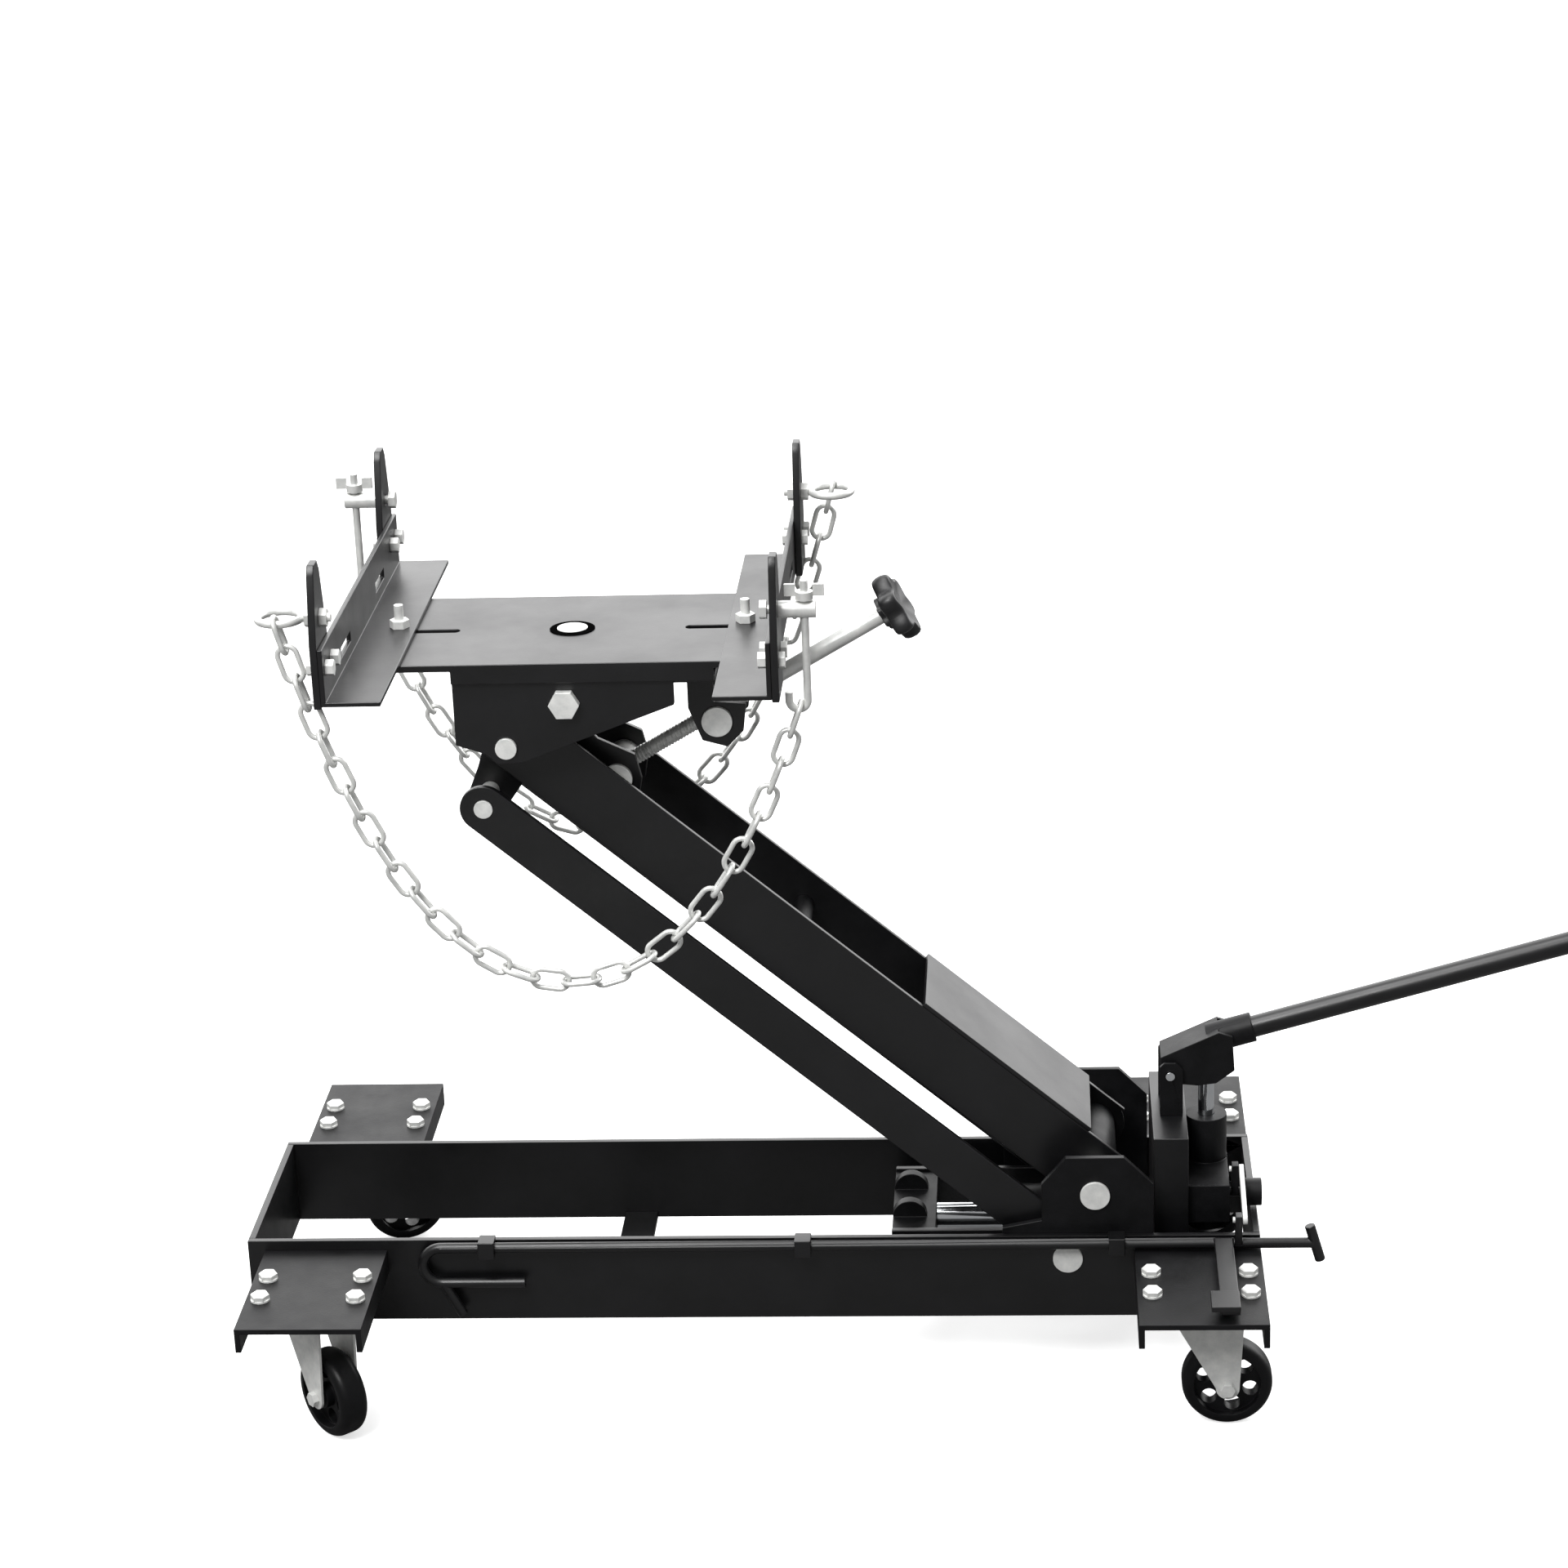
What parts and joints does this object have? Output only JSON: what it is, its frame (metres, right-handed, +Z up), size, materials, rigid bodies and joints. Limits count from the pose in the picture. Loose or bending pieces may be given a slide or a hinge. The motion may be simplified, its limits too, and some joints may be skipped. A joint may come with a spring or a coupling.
{
  "type": "transmission jack",
  "caption": "Low-profile hydraulic floor jack with a parallelogram lift arm, tilting load table with chains, swivel casters and a pump handle.",
  "frame": {"origin": "on the floor, at the centre of the outline from the rails' front end to the handle's tip", "axes": "+X towards the pump handle, +Y to the far side, +Z up"},
  "size_m": [1.8584, 0.488, 0.7756],
  "materials": {
    "black_paint": "gloss",
    "zinc": "bright zinc plate",
    "chrome": "polished",
    "black_plastic": "moulded",
    "wheel_iron": "painted",
    "grip": "ribbed"
  },
  "bodies": {
    "chassis": {"rail_near": "black_paint", "rail_far": "black_paint", "cross_members": "black_paint", "caster_plates_front": "black_paint", "caster_plates_rear": "black_paint", "caster_top_plates": "zinc", "caster_bolts": "zinc", "pivot_brackets": "black_paint", "chassis_pins": "chrome", "ram_cylinder": "black_paint", "ram_gland": "black_paint", "reservoir": "black_paint", "pump_body": "black_paint", "pump_bracket": "black_paint", "lever_pivot_pin": "chrome", "rod_clips": "black_paint"},
    "ram": {"ram_piston": "chrome", "crosshead": "black_paint", "yoke_plates": "black_paint"},
    "arm": {"arm_plate_near": "black_paint", "arm_plate_far": "black_paint", "arm_cover": "black_paint", "arm_tubes": "black_paint", "horn_pins": "chrome"},
    "links": {"level_links": "black_paint", "link_upper_pin": "zinc"},
    "head": {"head_plates": "black_paint", "head_tubes": "black_paint", "head_pin": "chrome"},
    "low_trunnion": {"lower_trunnion": "zinc"},
    "screw": {"tilt_screw": "chrome", "tilt_knob": "black_plastic"},
    "cradle": {"cradle_plates": "black_paint", "cradle_deck": "black_paint", "trunnion_lugs": "black_paint", "cradle_pins": "zinc"},
    "high_trunnion": {"upper_trunnion": "zinc"},
    "rock_knob": {"side_knob": "black_plastic"},
    "table": {"table_plate": "black_paint", "table_bolts": "zinc", "angle_irons": "black_paint", "posts": "black_paint", "ring_bolts": "zinc", "hook_bolts": "zinc", "chains": "zinc"},
    "lever": {"lever_socket": "black_paint", "handle_tube": "black_paint", "handle_grip": "grip"},
    "plunger": {"pump_plunger": "chrome"},
    "release_shaft": {"release_rod": "black_paint"},
    "release_bar": {"release_link": "zinc"},
    "valve": {"release_valve": "black_paint"},
    "caster_front_near": {"fork_front_near": "zinc"},
    "roller_front_near": {"wheel_front_near": "wheel_iron"},
    "caster_front_far": {"fork_front_far": "zinc"},
    "roller_front_far": {"wheel_front_far": "wheel_iron"},
    "caster_rear_near": {"fork_rear_near": "zinc"},
    "roller_rear_near": {"wheel_rear_near": "wheel_iron"},
    "caster_rear_far": {"fork_rear_far": "zinc"},
    "roller_rear_far": {"wheel_rear_far": "wheel_iron"}
  },
  "joints": [
    {"name": "arm_lift", "type": "hinge", "parent": "chassis", "child": "arm", "pos_m": [-0.19017, 0, 0.173], "axis": [0, 1, 0], "range_deg": [-43.5, 13], "deforming": ["chains"]},
    {"name": "link_swing", "type": "hinge", "parent": "chassis", "child": "links", "pos_m": [-0.21416, 0, 0.116], "axis": [0, 1, 0], "range_deg": [-43.5, 13]},
    {"name": "head_level", "type": "hinge", "parent": "arm", "child": "head", "pos_m": [-0.67447, 0, 0.58663], "axis": [0, 1, 0], "range_deg": [-13, 43.5]},
    {"name": "ram_slide", "type": "slide", "parent": "chassis", "child": "ram", "axis": [-1, 0, 0], "range_m": [-0.0459, 0.0138]},
    {"name": "fore_aft_tilt", "type": "hinge", "parent": "head", "child": "cradle", "pos_m": [-0.67447, 0, 0.58663], "axis": [0, 1, 0], "range_deg": [-6, 6]},
    {"name": "lower_trunnion_turn", "type": "hinge", "parent": "head", "child": "low_trunnion", "pos_m": [-0.58947, 0, 0.53863], "axis": [0, 1, 0], "range_deg": [-9.2, 9.2]},
    {"name": "upper_trunnion_turn", "type": "hinge", "parent": "cradle", "child": "high_trunnion", "pos_m": [-0.50247, 0, 0.58863], "axis": [0, 1, 0], "range_deg": [-3.2, 3.2]},
    {"name": "tilt_screw_turn", "type": "hinge", "parent": "low_trunnion", "child": "screw", "pos_m": [-0.58947, 0, 0.53863], "axis": [0.867, 0, 0.4983], "range_deg": [-793.4, 793.4]},
    {"name": "side_tilt", "type": "hinge", "parent": "cradle", "child": "table", "pos_m": [-0.62447, 0, 0.65063], "axis": [1, 0, 0], "range_deg": [-3, 3]},
    {"name": "side_knob_turn", "type": "hinge", "parent": "cradle", "child": "rock_knob", "pos_m": [-0.62347, 0.1, 0.62563], "axis": [0, 1, 0], "continuous": true},
    {"name": "pump_stroke", "type": "hinge", "parent": "chassis", "child": "lever", "pos_m": [-0.12316, 0, 0.252], "axis": [0, 1, 0], "range_deg": [-30, 25]},
    {"name": "plunger_slide", "type": "slide", "parent": "chassis", "child": "plunger", "axis": [0, 0, 1], "range_m": [-0.0136, 0.0163]},
    {"name": "release_turn", "type": "hinge", "parent": "chassis", "child": "release_shaft", "pos_m": [-0.42917, -0.109, 0.134], "axis": [1, 0, 0], "range_deg": [-40, 0]},
    {"name": "release_link_turn", "type": "hinge", "parent": "release_shaft", "child": "release_bar", "pos_m": [-0.06517, -0.109, 0.156], "axis": [1, 0, 0], "range_deg": [0, 40]},
    {"name": "valve_turn", "type": "hinge", "parent": "chassis", "child": "valve", "pos_m": [-0.06517, -0.045, 0.151], "axis": [1, 0, 0], "range_deg": [-40, 0]},
    {"name": "swivel_front_near", "type": "hinge", "parent": "chassis", "child": "caster_front_near", "pos_m": [-0.86016, -0.172, 0.11], "axis": [0, 0, 1], "continuous": true},
    {"name": "roll_front_near", "type": "hinge", "parent": "caster_front_near", "child": "roller_front_near", "pos_m": [-0.84544, -0.18835, 0.0383], "axis": [0.7431, 0.6691, 0], "continuous": true},
    {"name": "swivel_front_far", "type": "hinge", "parent": "chassis", "child": "caster_front_far", "pos_m": [-0.86016, 0.172, 0.11], "axis": [0, 0, 1], "continuous": true},
    {"name": "roll_front_far", "type": "hinge", "parent": "caster_front_far", "child": "roller_front_far", "pos_m": [-0.83949, 0.17952, 0.0383], "axis": [-0.342, 0.9397, 0], "continuous": true},
    {"name": "swivel_rear_near", "type": "hinge", "parent": "chassis", "child": "caster_rear_near", "pos_m": [-0.10317, -0.172, 0.11], "axis": [0, 0, 1], "continuous": true},
    {"name": "roll_rear_near", "type": "hinge", "parent": "caster_rear_near", "child": "roller_rear_near", "pos_m": [-0.08117, -0.172, 0.0383], "axis": [0, 1, 0], "continuous": true},
    {"name": "swivel_rear_far", "type": "hinge", "parent": "chassis", "child": "caster_rear_far", "pos_m": [-0.10317, 0.172, 0.11], "axis": [0, 0, 1], "continuous": true},
    {"name": "roll_rear_far", "type": "hinge", "parent": "caster_rear_far", "child": "roller_rear_far", "pos_m": [-0.08165, 0.16743, 0.0383], "axis": [0.2079, 0.9781, 0], "continuous": true}
  ],
  "couplings": [
    {"joint": "link_swing", "follows": "arm_lift", "ratio": 1},
    {"joint": "head_level", "follows": "arm_lift", "ratio": -1},
    {"joint": "ram_slide", "follows": "arm_lift", "m_per_rad": 0.0602},
    {"joint": "lower_trunnion_turn", "follows": "fore_aft_tilt", "ratio": 1.4961},
    {"joint": "upper_trunnion_turn", "follows": "fore_aft_tilt", "ratio": 0.49608},
    {"joint": "tilt_screw_turn", "follows": "fore_aft_tilt", "ratio": 131.9},
    {"joint": "plunger_slide", "follows": "pump_stroke", "m_per_rad": -0.0309},
    {"joint": "release_link_turn", "follows": "release_turn", "ratio": -1},
    {"joint": "valve_turn", "follows": "release_turn", "ratio": 1}
  ]
}
